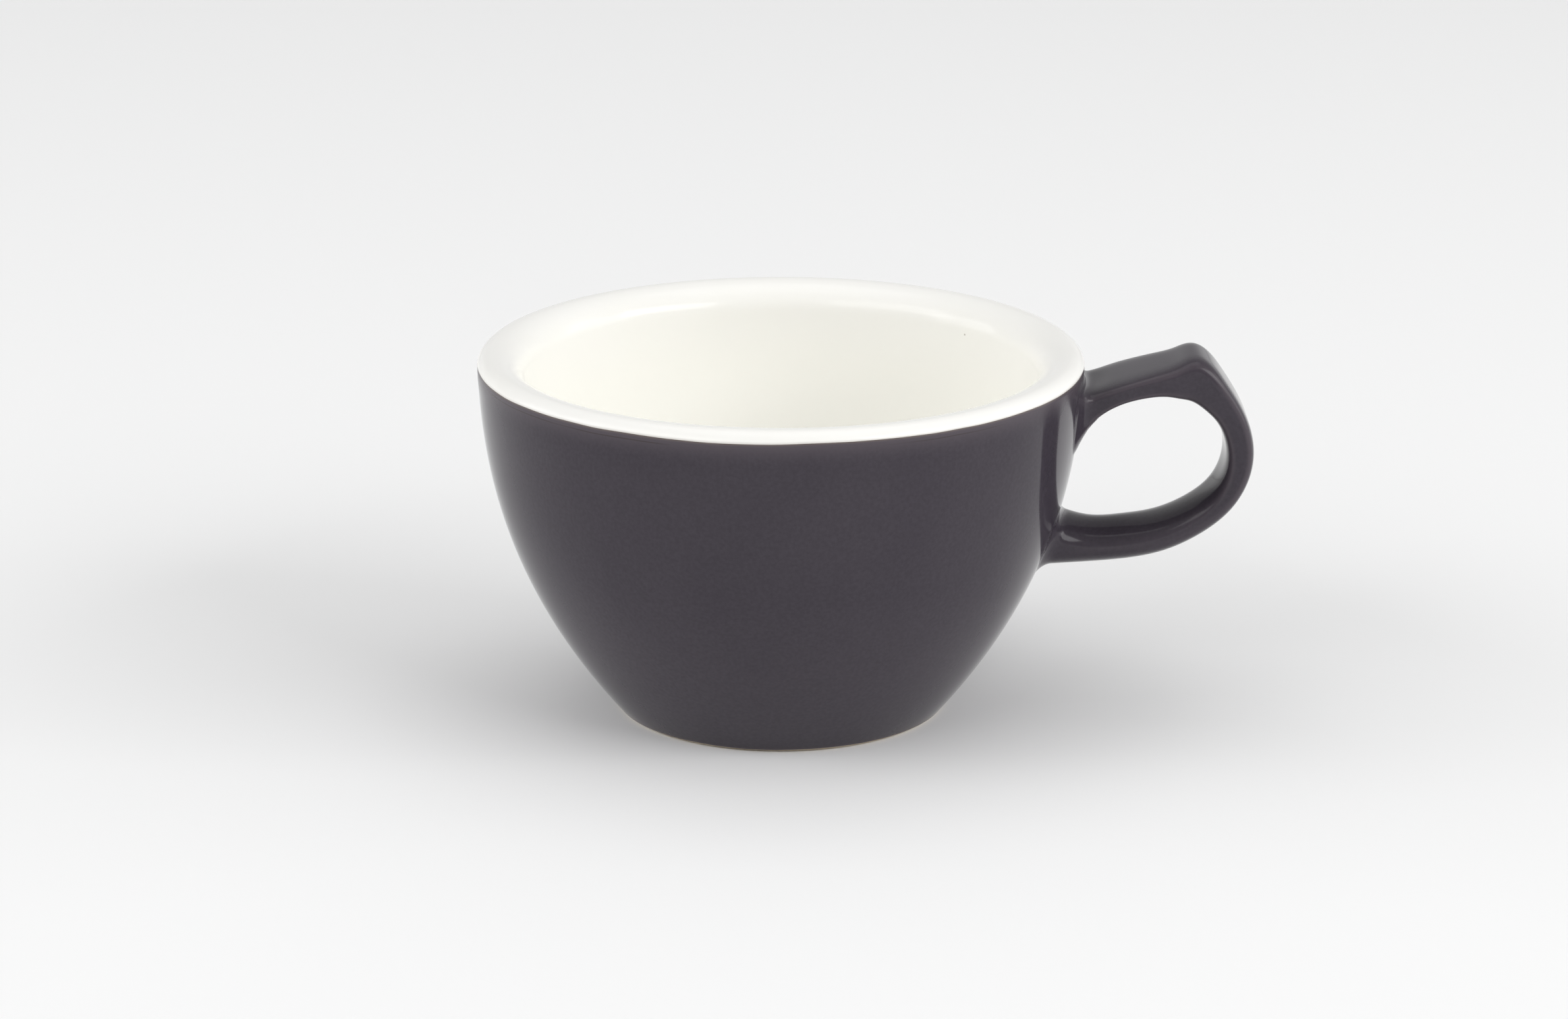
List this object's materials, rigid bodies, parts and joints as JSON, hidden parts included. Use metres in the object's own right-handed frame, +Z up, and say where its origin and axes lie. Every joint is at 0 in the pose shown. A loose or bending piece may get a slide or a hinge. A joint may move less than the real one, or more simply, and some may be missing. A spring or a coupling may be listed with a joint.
{
  "type": "cappuccino cup",
  "caption": "Thick-walled cappuccino cup with a rounded bowl, foot ring and looped strap handle, cream glaze inside and over the lip, charcoal glaze outside.",
  "frame": {"origin": "on the cup's axis, in the plane of the table that the foot ring stands on", "axes": "+Z up along the bowl's axis, +X towards the handle, +Y completes a right-handed frame"},
  "size_m": [0.1215, 0.095, 0.0576],
  "materials": {
    "biscuit": "fired unglazed clay",
    "slip": "fired joining slip",
    "cream_glaze": "gloss",
    "charcoal_glaze": "gloss"
  },
  "bodies": {
    "root": {"cup_body": "biscuit", "handle": "biscuit", "upper_handle_joint": "slip", "lower_handle_joint": "slip", "inner_glaze": "cream_glaze", "outer_glaze": "charcoal_glaze", "handle_glaze": "charcoal_glaze", "underside_glaze": "charcoal_glaze"}
  },
  "joints": []
}
